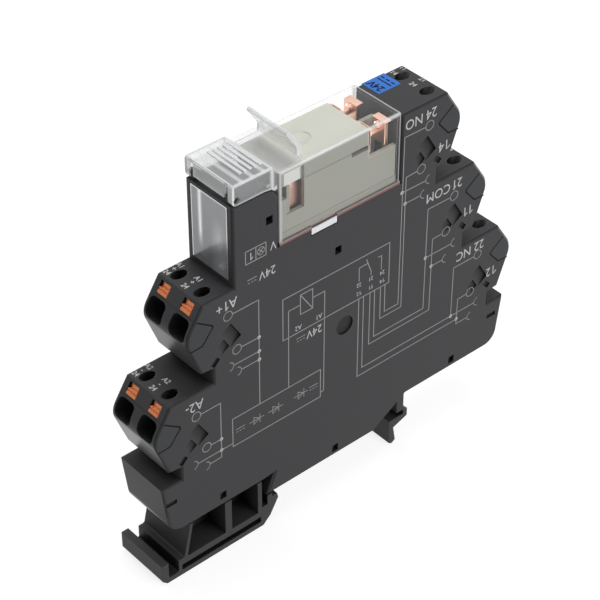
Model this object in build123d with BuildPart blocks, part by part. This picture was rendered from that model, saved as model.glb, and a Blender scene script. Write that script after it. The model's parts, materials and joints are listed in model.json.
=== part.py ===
from build123d import *
from math import cos, radians, sin
import os

os.makedirs("parts", exist_ok=True)

# Driving dimensions, in millimetres and degrees. X runs along the module from the
# inputs to the outputs, Y across it and Z away from the rail. The origin is on the
# rail's centre line, mid-width, in the plane that the rail's lips bear on.
overall_length = 89.6
overall_width = 12.8
cover_t = 1.0
wall_t = 1.2
edge_chamfer = 0.45
seam_gap = 0.1

# Terminal heads, three levels high, repeated on both ends
low_level_z = 35.0
level_pitch_z = 18.9
output_block_w = 15.1
nose_r = 4.0
nose_drop = 6.87
slant_angle = 33.1
flank_angle = -20.7
flank_drop = 15.3
notch_depth = 5.6
wire_angle = 23.0
terminal_spacing = overall_width / 2 + 0.1

# Wire funnels, pushers and test holes
mouth_w = 4.7
mouth_h = 5.0
mouth_rise = 0.3
mouth_r = 1.1
wire_hole_d = 2.6
pusher_w = 2.6
pusher_h = 2.3
pusher_v = 3.25
pusher_head_t = 0.7
pusher_travel = 0.9
stem_h = 1.2
slide_gap = 0.1
test_hole_d = 2.3
test_hole_depth = 3.4
test_hole_in = 6.1
test_hole_tilt = 48.0

# Clamp units
chamber_deep = 11.9
chamber_low = -2.3
chamber_high = 6.6
side_room = 0.1
bus_t = 0.8
spring_t = 0.3
strip_w = 1.6
strip_t = 0.5

# Foot of the housing
block_x = overall_length / 2 - 1.0
block_z = 16.4
block_r = 3.5
left_bottom_z = 4.4
right_bottom_z = 5.2
rail_span = 35.0
rail_lip_t = 1.0
foot_z = -7.5

# Column, relay bay and output block
column_left = -26.0
column_z = 71.2
column_r = 3.0
seat_z = 58.0
bay_gap = 0.15

# Plug-in relay
relay_x0 = -15.45
relay_length = 28.8
relay_width = overall_width - 0.1
relay_height = 15.6
relay_base_t = 0.7
plug_t = 1.3
case_t = 0.5
pin_pitch = 5.0
nc_pin_x = relay_x0 + relay_length - 11.65
coil_pin_x = relay_x0 + 3.05
pin_row = relay_width - 5.2
pin_t = 0.5
pin_w = 1.0
pin_l = 3.6
coil_z = 64.9
core_r = 1.8
winding_w = 7.2
winding_h = 7.9

near_y = -overall_width / 2
far_y = overall_width / 2
cover_in_y = near_y + cover_t
far_in_y = far_y - wall_t
bus_w = 2 * (far_in_y - side_room - terminal_spacing / 2)
spring_w = bus_w - 0.1
column_right = relay_x0 - bay_gap
block_wall_x = relay_x0 + relay_length + bay_gap
level_pitch_x = (overall_length / 2 - block_wall_x - output_block_w) / 2
nose_xs = [overall_length / 2 - level_pitch_x * i for i in range(3)]
top_zs = [low_level_z + level_pitch_z * i for i in range(3)]
heads = {
    "a2": (-1, nose_xs[0], top_zs[0]),
    "a1": (-1, nose_xs[1], top_zs[1]),
    "nc": (1, nose_xs[0], top_zs[0]),
    "com": (1, nose_xs[1], top_zs[1]),
    "no": (1, nose_xs[2], top_zs[2]),
}
sides = {"near": -terminal_spacing / 2, "far": terminal_spacing / 2}


def side_plane(y):
    """Plane parallel to the flat sides at y; extruding from it goes towards the near side."""
    return Plane.XZ.offset(-y)


def outline(corners, mode=Mode.ADD):
    """Face inside the current sketch, from (x, z, corner radius) triples."""
    with BuildLine() as edge:
        FilletPolyline(
            *[(x, z) for x, z, r in corners], radius=[r for x, z, r in corners], close=True
        )
    make_face(edge.edges(), mode=mode)


def sharp(points):
    """Corner triples with no rounding."""
    return [(x, z, 0) for x, z in points]


def save(builder, name):
    builder.part.label = name
    export_step(builder.part, f"parts/{name}.step")


def head_corners(side, nose_x, top_z):
    """Profile of one terminal head, from its notch up over the nose to its top corner."""
    cx, cz = nose_x - nose_r, top_z - nose_drop
    mean = radians((slant_angle + flank_angle) / 2)
    half = radians((slant_angle - flank_angle) / 2)
    tip = nose_r / cos(half)
    slant = radians(slant_angle)
    flank = radians(flank_angle)
    rise = (top_z - cz - nose_r * sin(slant)) / cos(slant)
    top_x = cx + nose_r * cos(slant) - rise * sin(slant)
    drop = (flank_drop - nose_drop + nose_r * sin(flank)) / cos(flank)
    flank_x = cx + nose_r * cos(flank) + drop * sin(flank)
    points = [
        (nose_x - notch_depth, top_z - flank_drop - 0.3, 0),
        (flank_x, top_z - flank_drop, 0),
        (cx + tip * cos(mean), cz + tip * sin(mean), nose_r),
        (top_x, top_z, 0),
    ]
    return [(side * x, z, r) for x, z, r in points]


def notch_foot(side, nose_x, z):
    return [(side * (nose_x - notch_depth), z, 0)]


def housing_corners():
    """Side outline of the whole housing, starting at the left end of the rail seat."""
    lip_x = rail_span / 2
    corners = [(-lip_x - 1.4, 0, 0), (8.6, 0, 0), (lip_x - 0.4, right_bottom_z, 0)]
    corners += [(block_x - 1.6, right_bottom_z, block_r), (block_x, block_z, 0)]
    corners += notch_foot(1, nose_xs[0], block_z) + head_corners(*heads["nc"])
    corners += notch_foot(1, nose_xs[1], top_zs[0]) + head_corners(*heads["com"])
    corners += notch_foot(1, nose_xs[2], top_zs[1]) + head_corners(*heads["no"])
    corners += [(block_wall_x, top_zs[2], 0), (block_wall_x, seat_z, 0)]
    corners += [(column_right, seat_z, 0), (column_right, column_z, column_r)]
    corners += [(column_left, column_z, 0), (column_left, top_zs[1], 0)]
    corners += head_corners(*heads["a1"])[::-1] + notch_foot(-1, nose_xs[1], top_zs[0])
    corners += head_corners(*heads["a2"])[::-1] + notch_foot(-1, nose_xs[0], block_z)
    corners += [(-block_x, block_z, 0), (-block_x + 1.5, left_bottom_z, block_r)]
    corners += [(-lip_x - 2.4, left_bottom_z, 0), (-lip_x + 0.4, left_bottom_z + 0.3, 0)]
    return corners


def cheek_corners(side, nose_x, top_z, gap):
    """D-shaped pocket that holds one terminal insert, open past the nose."""
    points = [
        (-1.5, -1.5 - gap, 0),
        (0.1 - gap, -1.5 - gap, 0),
        (5.9 - gap, -5.6, 0.5),
        (3.3 - gap, -8.8 + gap, 0.4),
        (-1.5, -9.05 + gap, 0),
    ]
    return [(side * (nose_x - a), top_z + b, r) for a, b, r in points]


def wire_plane(side, nose_x, top_z, y):
    """Plane of one terminal: x along the wire as it goes in, y up, origin at the mouth."""
    c, s = cos(radians(wire_angle)), sin(radians(wire_angle))
    origin = (
        side * (nose_x - nose_r + nose_r * c),
        y,
        top_z - nose_drop + nose_r * s,
    )
    return Plane(origin=origin, x_dir=(-side * c, 0, -s), z_dir=(0, side, 0))


def wire_point(side, nose_x, top_z, u, v):
    """The x and z of a point given along and above a terminal's wire axis."""
    place = wire_plane(side, nose_x, top_z, 0).from_local_coords(Vector(u, v, 0))
    return place.X, place.Z


def face_u(v):
    """Where the slanted face lies along the wire axis, at height v above it."""
    lean = radians(slant_angle - wire_angle)
    return nose_r - (nose_r - v * sin(lean)) / cos(lean)


# Blank with the outer form of the housing, which its parts are cut from
with BuildPart() as blank:
    with BuildSketch(side_plane(far_y)):
        outline(housing_corners())
    extrude(amount=overall_width)
    rims = blank.faces().filter_by(Axis.Y).edges()
    soft = [
        e
        for e in rims
        if not (abs(e.center().Z - seat_z) < 0.1 and abs(e.center().X) < column_z)
    ]
    chamfer(soft, edge_chamfer)

low_x = nose_xs[0] - 11.3
mid_x = nose_xs[1] - 7.1
high_x = nose_xs[1] - 11.2
output_x = nose_xs[2] - 7.0
floor_left = -rail_span / 2 + 1.9
cavity = [
    (-low_x, 8.6),
    (floor_left, 8.6),
    (floor_left, 1.4),
    (8.0, 1.4),
    (rail_span / 2 - 1.1, 6.7),
    (low_x, 6.7),
    (low_x, 25.0),
    (mid_x, 31.0),
    (mid_x, 40.0),
    (high_x, 44.0),
    (output_x, 50.0),
    (output_x, 71.4),
    (block_wall_x + 1.4, 71.4),
    (block_wall_x + 1.4, seat_z - 1.4),
    (column_right - wall_t, seat_z - 1.4),
    (column_right - wall_t, column_z - 1.4),
    (column_left + wall_t, column_z - 1.4),
    (column_left + wall_t, 50.0),
    (-high_x, 44.0),
    (-mid_x, 40.0),
    (-mid_x, 31.0),
    (-low_x, 25.0),
]
chamber = [
    (3.9, chamber_low),
    (13.3, chamber_low),
    (13.3, 1.2),
    (chamber_deep, 1.2),
    (chamber_deep, chamber_high),
    (5.6, chamber_high),
    (5.6, 1.6),
    (4.9, 1.6),
]
pusher_top = pusher_v + pusher_h
stem_v = pusher_v + stem_h
head_end = face_u(pusher_top) + pusher_head_t
pocket_end = head_end + pusher_travel + slide_gap
pusher_slot = [
    (-1.0, pusher_v - slide_gap),
    (6.0, pusher_v - slide_gap),
    (6.0, stem_v + slide_gap),
    (pocket_end, stem_v + slide_gap),
    (pocket_end, pusher_top + slide_gap),
    (-1.0, pusher_top + slide_gap),
]
tab_x0, tab_x1 = -8.0, -2.0
tag_x0, tag_x1 = block_wall_x + 1.6, nose_xs[2] - 8.0
window_z0, window_z1 = 55.0, 70.6
window_y = far_in_y - 0.3
lug_out, lug_in = far_y - 1.3, far_y - 2.1
clip_pivot = (column_left + 1.1, column_z + 1.1)
clip_pin_r = 0.6
pcb_near_y, pcb_far_y = far_in_y - 2.8, far_in_y - 1.8
pcb_left = 14.1 - nose_xs[1]
board_top = seat_z - 8.5
socket_low, socket_high = seat_z - 7.4, seat_z - 1.8
lip_x = rail_span / 2
pin_xs = {
    "nc": nc_pin_x,
    "com": nc_pin_x + pin_pitch,
    "no": nc_pin_x + 2 * pin_pitch,
    "coil": coil_pin_x,
}
key_neck, key_head = 0.8, 1.9


def slab_plane(side, nose_x, top_z, y, width):
    """Wire plane moved so that extruding by width gives a slab centred on y."""
    return wire_plane(side, nose_x, top_z, y - side * width / 2)


def mouth_plane(side, nose_x, top_z, y, u):
    """Plane square to a wire at depth u; extruding from it goes deeper."""
    c, s = cos(radians(wire_angle)), sin(radians(wire_angle))
    x, z = wire_point(side, nose_x, top_z, u, 0)
    return Plane(origin=(x, y, z), x_dir=(0, -side, 0), z_dir=(-side * c, 0, -s))


def strip(points, width, bend_r=0.0):
    """Face of a bent strip, inside the current sketch, along its centre line."""
    with BuildLine() as path:
        if bend_r:
            FilletPolyline(*points, radius=bend_r)
        else:
            Polyline(*points)
    trace(path.edges(), width)


def box(x0, x1, y0, y1, z0, z1, mode=Mode.ADD):
    with Locations(((x0 + x1) / 2, (y0 + y1) / 2, (z0 + z1) / 2)):
        Box(x1 - x0, y1 - y0, z1 - z0, mode=mode)


def pin_slots(xs, gap, z0, z1):
    """Slots through the current part for the relay's blades."""
    for x in xs:
        for y in (-pin_row / 2, pin_row / 2):
            half_w, half_t = pin_w / 2 + gap, pin_t / 2 + gap
            box(x - half_w, x + half_w, y - half_t, y + half_t, z0, z1, Mode.SUBTRACT)


with BuildPart() as housing_shell:
    add(blank.part)
    box(-60, 60, near_y - 1, cover_in_y, -20, 90, Mode.SUBTRACT)
    with BuildSketch(side_plane(far_in_y)):
        outline(sharp(cavity))
    extrude(amount=far_in_y - cover_in_y, mode=Mode.SUBTRACT)
    for side, nose_x, top_z in heads.values():
        with BuildSketch(side_plane(far_y + 1)):
            outline(cheek_corners(side, nose_x, top_z, 0))
        extrude(amount=overall_width + 2, mode=Mode.SUBTRACT)
        middle = (far_in_y + cover_in_y) / 2
        inner_w = far_in_y - cover_in_y
        with BuildSketch(slab_plane(side, nose_x, top_z, middle, inner_w)):
            outline(sharp(chamber))
        extrude(amount=inner_w, mode=Mode.SUBTRACT)
        slot_w = pusher_w + 2 * slide_gap
        for y in sides.values():
            with BuildSketch(slab_plane(side, nose_x, top_z, y, slot_w)):
                outline(sharp(pusher_slot))
            extrude(amount=slot_w, mode=Mode.SUBTRACT)
            # Test hole, sloping down to the clamp's busbar
            tilt = radians(test_hole_tilt)
            hole = Plane(
                origin=(side * (nose_x - test_hole_in), y, top_z),
                x_dir=(0, 1, 0),
                z_dir=(-side * sin(tilt), 0, -cos(tilt)),
            )
            with BuildSketch(hole.offset(-2.0)):
                Circle(test_hole_d / 2)
            extrude(amount=2.0 + test_hole_depth, mode=Mode.SUBTRACT)
    pin_slots(pin_xs.values(), 0.25, seat_z - 1.6, seat_z + 0.2)
    # Fixed hook for one lip of the rail
    with BuildSketch(side_plane(far_y - 0.8)):
        outline(
            sharp(
                [
                    (lip_x + 0.1, right_bottom_z + 0.2),
                    (lip_x + 0.1, 0.8),
                    (lip_x + 1.2, -0.2),
                    (lip_x + 1.2, -2.1),
                    (lip_x - 2.5, -3.4),
                    (lip_x - 1.9, -6.9),
                    (lip_x - 2.9, foot_z),
                    (lip_x - 3.6, -7.0),
                    (lip_x - 3.7, -rail_lip_t - 0.2),
                    (lip_x + 0.1, -rail_lip_t - 0.2),
                    (lip_x + 0.1, 0),
                    (lip_x - 1.7, 0),
                    (lip_x - 1.7, right_bottom_z + 0.2),
                ]
            )
        )
    extrude(amount=far_y - 0.8 - cover_in_y)
    # T-slot for the latch's key
    neck = key_neck + slide_gap
    top = key_head + slide_gap
    box(-lip_x - 19.0, -lip_x - 5.3, -neck, neck, left_bottom_z - 1, 6.0, Mode.SUBTRACT)
    box(-lip_x - 19.0, -lip_x - 5.3, -top, top, 5.8, 7.1, Mode.SUBTRACT)
    # Posts that carry the circuit board
    with BuildSketch(side_plane(far_in_y)):
        with Locations((-25, 13), (-4, 13), (-4, 45), (pcb_left + 2.5, 44)):
            Rectangle(3, 3)
    extrude(amount=far_in_y - pcb_far_y)
    # Recesses for the marker window and the voltage tag
    box(column_left - 1, column_left + 0.7, -window_y - 0.05, window_y + 0.05, window_z0, window_z1, Mode.SUBTRACT)
    box(column_left, column_left + 2, -2.5, 2.5, 60, 67, Mode.SUBTRACT)
    box(tag_x0 - 0.1, tag_x1 + 0.1, far_y - 4.8, far_y + 1, top_zs[2] - 1, top_zs[2] + 1, Mode.SUBTRACT)
    # Lugs and stub pins for the ejector clip
    px, pz = clip_pivot
    for y in (lug_out, -lug_in):
        with BuildSketch(side_plane(y)):
            outline(
                [
                    (px - 0.7, column_z - 0.2, 0),
                    (px + 2.1, column_z - 0.2, 0),
                    (px + 0.2, pz + 0.9, 0.5),
                    (px - 0.7, pz + 0.8, 0.5),
                ]
            )
        extrude(amount=lug_out - lug_in)
    for y0, y1 in ((0.5 - far_y, -lug_in), (lug_in, far_y - 0.5)):
        with BuildSketch(side_plane(y1)):
            with Locations(clip_pivot):
                Circle(clip_pin_r)
        extrude(amount=y1 - y0)

ramps = [(0, -7.1, 4.4, 3.2, 0.5), (-1.7, -9.9, 2.4, 2.4, 0.4)]
with BuildPart() as side_cover:
    add(blank.part)
    box(-60, 60, cover_in_y, far_y + 1, -20, 90, Mode.SUBTRACT)
    with BuildSketch(side_plane(0)):
        for side, nose_x, top_z in heads.values():
            outline(cheek_corners(side, nose_x, top_z, 0))
    extrude(amount=overall_width, mode=Mode.SUBTRACT)
    # Recess for the lug of the relay's case
    box(tab_x0 - 0.2, tab_x1 + 0.2, near_y - 1, near_y + 0.6, seat_z - 1.3, seat_z + 1, Mode.SUBTRACT)
    # Snap windows, marks and the round dimple
    with BuildSketch(side_plane(cover_in_y)):
        with Locations((-29.8, 6.9), (-1.7, 1.9), (29.6, 7.2), (-17.8, 64.9), (-1.6, 50.4)):
            Rectangle(1.5, 1.7)
    extrude(amount=overall_width, mode=Mode.SUBTRACT)
    with BuildSketch(side_plane(near_y + 0.35)):
        with Locations((0.25, 31.8)):
            Circle(2.05)
        for x, z, turn in (
            (-30.6, 39.8, 45),
            (-38.7, 21.0, 45),
            (22.8, 59.2, -45),
            (30.5, 40.3, -45),
            (38.5, 21.9, -45),
        ):
            with Locations(Location((x, z), turn)):
                Rectangle(1.9, 1.1)
        with Locations((40.5, 13.0), (-41.8, 12.3)):
            Rectangle(2.4, 1.0)
    extrude(amount=2, mode=Mode.SUBTRACT)
    # Shallow ramps behind each head, deep along their upper right edges
    for side, nose_x, top_z in heads.values():
        corner_x = nose_x - 8.6 if side > 0 else -nose_x + 9.8
        for dx, dz, length, run, deep in ramps:
            ramp = Plane(
                origin=(corner_x + dx, near_y, top_z + dz),
                x_dir=(-0.854, 0, -0.52),
                z_dir=(0.52, 0, -0.854),
            )
            with BuildSketch(ramp):
                outline(sharp([(0, -0.3), (0, deep), (run, 0), (run, -0.3)]))
            extrude(amount=length, mode=Mode.SUBTRACT)

save(housing_shell, "housing_shell")
save(side_cover, "side_cover")

for name, (side, nose_x, top_z) in heads.items():
    with BuildPart() as insert:
        with BuildSketch(side_plane(far_y + 1)):
            outline(cheek_corners(side, nose_x, top_z, 0.05))
        extrude(amount=overall_width + 2)
        add(blank.part, mode=Mode.INTERSECT)
        for y in sides.values():
            with BuildSketch(mouth_plane(side, nose_x, top_z, y, -0.4)):
                with Locations((0, mouth_rise)):
                    RectangleRounded(mouth_w, mouth_h, mouth_r)
            with BuildSketch(mouth_plane(side, nose_x, top_z, y, 4.0)):
                RectangleRounded(wire_hole_d, wire_hole_d, wire_hole_d / 2 - 0.05)
            loft(mode=Mode.SUBTRACT)
            with BuildSketch(mouth_plane(side, nose_x, top_z, y, 3.0)):
                Circle(wire_hole_d / 2 - 0.05)
            extrude(amount=4, mode=Mode.SUBTRACT)
    save(insert, f"wire_insert_{name}")

leg_top_u, leg_top_v = 6.1, chamber_high - 0.45
leg_end_u, leg_end_v = 10.5, chamber_low + 0.1 + bus_t + 0.2
leg_slope = (leg_end_u - leg_top_u) / (leg_top_v - leg_end_v)


def stem_tip(v):
    """Where a pusher's stem ends, just short of the spring's clamping leg."""
    return leg_top_u + (leg_top_v - v) * leg_slope - spring_t - 0.05


bus_low = chamber_low + 0.1
bus_profile = [
    (5.4, bus_low),
    (11.8, bus_low),
    (11.8, leg_top_v - spring_t / 2 - 0.05),
    (11.2, leg_top_v - spring_t / 2 - 0.05),
    (11.2, bus_low + bus_t),
    (5.4, bus_low + bus_t),
]
ids = {
    "a1": ("a1_near", "a1_far"),
    "a2": ("a2_near", "a2_far"),
    "nc": ("12", "22"),
    "com": ("11", "21"),
    "no": ("14", "24"),
}
half_bus = terminal_spacing / 2 + bus_w / 2
for name, (side, nose_x, top_z) in heads.items():
    for mark, y in zip(ids[name], sides.values()):
        with BuildPart() as pusher:
            with BuildSketch(slab_plane(side, nose_x, top_z, y, pusher_w)):
                outline(
                    sharp(
                        [
                            (face_u(pusher_v), pusher_v),
                            (stem_tip(pusher_v), pusher_v),
                            (stem_tip(stem_v), stem_v),
                            (head_end, stem_v),
                            (head_end, pusher_top),
                            (face_u(pusher_top), pusher_top),
                        ]
                    )
                )
                for v in (pusher_v + 0.75, pusher_v + 1.55):
                    with Locations((face_u(v), v)):
                        Rectangle(0.4, 0.3, mode=Mode.SUBTRACT)
            extrude(amount=pusher_w)
            # Corner slot for the tip of a screwdriver
            slot_y = y + pusher_w / 2 - 0.45
            with BuildSketch(slab_plane(side, nose_x, top_z, slot_y, 1.1)):
                outline(
                    sharp(
                        [
                            (-0.5, pusher_top - 1.2),
                            (head_end - 0.1, pusher_top - 1.2),
                            (head_end - 0.1, pusher_top + 0.5),
                            (-0.5, pusher_top + 0.5),
                        ]
                    )
                )
            extrude(amount=1.1, mode=Mode.SUBTRACT)
        save(pusher, f"pusher_{mark}")
        with BuildPart() as clamp_spring:
            with BuildSketch(slab_plane(side, nose_x, top_z, y, spring_w)):
                strip(
                    [(11.6, leg_top_v), (leg_top_u, leg_top_v), (leg_end_u, leg_end_v)],
                    spring_t,
                    0.8,
                )
            extrude(amount=spring_w)
        save(clamp_spring, f"clamp_spring_{mark}")
        if side > 0:
            x, z = wire_point(side, nose_x, top_z, 11.5, -0.6)
            pin_x = pin_xs[name]
            route = [(x, z), (pin_x, z), (pin_x, socket_low - 0.4)]
            if name == "no":
                route = [(x, z), (x, 46.8), (pin_x, 46.8), (pin_x, socket_low - 0.4)]
            y_pin = pin_row / 2 if y > 0 else -pin_row / 2
            with BuildPart() as busbar:
                with BuildSketch(slab_plane(side, nose_x, top_z, y, bus_w)):
                    outline(sharp(bus_profile))
                extrude(amount=bus_w)
                with BuildSketch(side_plane(y_pin + strip_t / 2)):
                    strip(route, strip_w)
                extrude(amount=strip_t)
                leaf_in = pin_t / 2 + 0.05
                leaf_out = leaf_in + 0.35
                box(pin_x - 1.2, pin_x + 1.2, y_pin - leaf_out, y_pin + leaf_out, socket_low - 0.8, socket_low)
                for a, b in ((-leaf_out, -leaf_in), (leaf_in, leaf_out)):
                    box(pin_x - 1.2, pin_x + 1.2, y_pin + a, y_pin + b, socket_low - 0.6, socket_high)
            save(busbar, f"busbar_{mark}")
    if side < 0:
        x, z = wire_point(side, nose_x, top_z, 11.5, -0.6)
        tab_end = pcb_left + (2.1 if name == "a1" else -3.9)
        with BuildPart() as input_bus:
            with BuildSketch(slab_plane(side, nose_x, top_z, 0, 2 * half_bus)):
                outline(sharp(bus_profile))
            extrude(amount=2 * half_bus)
            with BuildSketch(side_plane(pcb_near_y)):
                strip([(x, z), (tab_end, z)], strip_w)
            extrude(amount=strip_t)
        save(input_bus, f"busbar_{name}")

with BuildPart() as circuit_board:
    with BuildSketch(side_plane(pcb_far_y)):
        outline(
            sharp(
                [
                    (pcb_left - 6.4, 9),
                    (pcb_left - 6.4, 30),
                    (pcb_left, 37),
                    (pcb_left, board_top),
                    (nc_pin_x - 3.2, board_top),
                    (nc_pin_x - 3.2, 9),
                ]
            )
        )
    extrude(amount=pcb_far_y - pcb_near_y)
save(circuit_board, "circuit_board")

with BuildPart() as led:
    with BuildSketch(Plane.XY.offset(board_top)):
        with Locations((pcb_left + 2.1, pcb_near_y + 0.5)):
            Circle(1.8)
    extrude(amount=0.8)
    with BuildSketch(Plane.XY.offset(board_top + 0.8)):
        with Locations((pcb_left + 2.1, pcb_near_y + 0.5)):
            Circle(1.5)
    extrude(amount=3.2)
    fillet(led.faces().sort_by(Axis.Z)[-1].edges(), 1.3)
save(led, "led")

for mark, y_pin in (("near", -pin_row / 2), ("far", pin_row / 2)):
    with BuildPart() as coil_socket:
        leaf_in = pin_t / 2 + 0.05
        leaf_out = leaf_in + 0.35
        x = coil_pin_x
        if y_pin < 0:
            box(x - 0.8, x + 0.8, y_pin - 0.25, pcb_near_y, board_top - 3.0, board_top - 2.5)
            box(x - 0.8, x + 0.8, y_pin - 0.25, y_pin + 0.25, board_top - 3.0, socket_low - 0.4)
        else:
            box(x - 0.8, x + 0.8, pcb_far_y, pcb_far_y + 0.6, board_top - 3.5, socket_low - 0.4)
        box(x - 1.2, x + 1.2, y_pin - leaf_out, y_pin + leaf_out, socket_low - 0.8, socket_low)
        for a, b in ((-leaf_out, -leaf_in), (leaf_in, leaf_out)):
            box(x - 1.2, x + 1.2, y_pin + a, y_pin + b, socket_low - 0.6, socket_high)
    save(coil_socket, f"coil_socket_{mark}")

with BuildPart() as marker_window:
    box(column_left, column_left + 0.7, -window_y, window_y, window_z0 + 0.05, window_z1 - 0.05)
save(marker_window, "marker_window")

with BuildPart() as voltage_tag:
    box(tag_x0, tag_x1, far_y - 4.75, far_y - 0.1, top_zs[2] - 1, top_zs[2])
save(voltage_tag, "voltage_tag")

latch_w = overall_width - 0.4
latch_left = -overall_length / 2
rib_x = (latch_left - lip_x) / 2 + 2.6
front_pocket = [
    (latch_left + 6.2, -3.5),
    (rib_x - 0.8, -3.5),
    (rib_x - 0.8, left_bottom_z + 1),
    (latch_left + 8.0, left_bottom_z + 1),
]
rear_pocket = [
    (rib_x + 0.8, -3.5),
    (-lip_x - 3.8, -3.5),
    (-lip_x - 3.8, left_bottom_z + 1),
    (rib_x + 0.8, left_bottom_z + 1),
]
with BuildPart() as rail_latch:
    with BuildSketch(side_plane(latch_w / 2)):
        outline(
            [
                (latch_left + 1.2, foot_z, 0),
                (-lip_x - 2.5, foot_z, 0),
                (-lip_x - 0.7, -5.8, 0),
                (-lip_x + 0.4, -3.9, 0.5),
                (-lip_x + 1.3, -2.3, 0.5),
                (-lip_x + 1.0, -rail_lip_t - 0.15, 0),
                (-lip_x - 0.25, -rail_lip_t - 0.15, 0),
                (-lip_x - 0.25, -0.4, 0),
                (-lip_x - 1.4, -0.4, 0),
                (-lip_x - 1.4, -2.6, 0),
                (-lip_x - 2.8, -2.6, 0),
                (-lip_x - 2.8, left_bottom_z - 0.2, 0),
                (latch_left + 7.1, left_bottom_z - 0.2, 0),
                (latch_left + 5.4, -3.4, 0.5),
                (latch_left + 4.0, -3.4, 0),
                (latch_left + 4.0, -6.3, 0.4),
                (latch_left + 1.6, -6.3, 0.4),
                (latch_left + 1.6, -2.5, 0),
                (latch_left, -2.5, 0),
                (latch_left, -6.4, 0.6),
            ]
        )
    extrude(amount=latch_w)
    for side in (-1, 1):
        y0, y1 = sorted((side * 0.6, side * 7))
        with BuildSketch(side_plane(y1)):
            outline(sharp(front_pocket))
            outline(sharp(rear_pocket))
        extrude(amount=y1 - y0, mode=Mode.SUBTRACT)
        y0, y1 = sorted((side * (latch_w / 2 - 1.0), side * 7))
        box(latch_left + 4.8, -lip_x - 3.1, y0, y1, -6.3, -4.9, Mode.SUBTRACT)
    box(-lip_x - 16.5, -lip_x - 5.5, -key_neck, key_neck, left_bottom_z - 0.4, 6.2)
    box(-lip_x - 16.5, -lip_x - 5.5, -key_head, key_head, 5.9, 7.0)
save(rail_latch, "rail_latch")

rx0, rx1 = relay_x0, relay_x0 + relay_length
ry = relay_width / 2
base_top = seat_z + relay_base_t
boss_top = base_top + plug_t
case_top = seat_z + relay_height
with BuildPart() as ejector_clip:
    px, pz = clip_pivot
    edge_x = column_right - 0.3
    lid_z = case_top + 0.2
    cheek = [
        (px, column_z + 0.1, 0),
        (column_right - column_r, column_z + 0.1, 0),
        (column_right - 1.6, column_z - 0.1, 0),
        (column_right - 0.7, column_z - 0.9, 0),
        (edge_x, column_z - 0.6, 0),
        (edge_x, lid_z, 0),
        (edge_x + 5.4, lid_z, 0),
        (edge_x + 5.4, lid_z + 0.7, 0),
        (edge_x - 0.7, lid_z + 0.7, 0),
        (edge_x - 1.1, lid_z + 1.7, 0),
        (px - 1.0, lid_z + 1.7, 0.6),
        (px - 1.0, column_z + 0.1, 0.95),
    ]
    cheek_out, cheek_in = far_y - 0.05, far_y - 1.2
    lid_y = cheek_in + 0.1
    for y1 in (cheek_out, -cheek_in):
        with BuildSketch(side_plane(y1)):
            outline(cheek)
            with Locations(clip_pivot):
                Circle(clip_pin_r + 0.05, mode=Mode.SUBTRACT)
        extrude(amount=cheek_out - cheek_in)
    box(px - 1.0, px - 0.2, -lug_in + 0.15, lug_in - 0.15, pz, lid_z + 1.5)
    box(px - 0.8, edge_x - 1.1, -lid_y, lid_y, lid_z + 0.9, lid_z + 1.7)
    box(edge_x - 1.5, edge_x + 5.4, -lid_y, lid_y, lid_z, lid_z + 0.7)
    box(edge_x - 1.7, edge_x - 1.0, -lid_y, lid_y, lid_z, lid_z + 1.4)
    with BuildSketch(side_plane(lid_y)):
        outline(
            [
                (edge_x + 5.0, lid_z, 0),
                (edge_x + 6.3, lid_z + 0.1, 0),
                (edge_x + 6.3, lid_z + 2.8, 3.0),
                (edge_x + 3.6, lid_z + 6.5, 0.4),
                (edge_x + 2.9, lid_z + 6.0, 0.3),
                (edge_x + 5.4, lid_z + 2.4, 2.0),
                (edge_x + 5.2, lid_z + 0.6, 0),
            ]
        )
    extrude(amount=2 * lid_y)
    for i in range(5):
        rib = px + 2.3 + 1.1 * i
        box(rib, rib + 0.6, -lug_in, lug_in, lid_z + 1.6, lid_z + 2.0)
save(ejector_clip, "ejector_clip")

with BuildPart() as relay_case:
    box(rx0, rx1, -ry, ry, base_top, case_top)
    fillet(relay_case.edges().filter_by(Axis.Z), 0.5)
    fillet(relay_case.faces().sort_by(Axis.Z)[-1].edges(), 0.4)
    box(
        rx0 + case_t,
        rx1 - case_t,
        -ry + case_t,
        ry - case_t,
        base_top - 1,
        case_top - case_t,
        Mode.SUBTRACT,
    )
    box(tab_x0, tab_x1, -ry, -ry + case_t, seat_z - 1.1, base_top + 0.5)
save(relay_case, "relay_case")

bx0, bx1, by = rx0 + case_t + 0.1, rx1 - case_t - 0.1, ry - case_t - 0.1
with BuildPart() as relay_base:
    box(rx0, rx1, -ry, ry, seat_z, base_top)
    box(bx0, bx1, -by, by, base_top, boss_top)
    box(tab_x0 - 0.05, tab_x1 + 0.05, -ry - 1, -ry + case_t, seat_z - 1, base_top, Mode.SUBTRACT)
    pin_slots(pin_xs.values(), 0, seat_z - 1, boss_top + 1)
save(relay_base, "relay_base")

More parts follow.
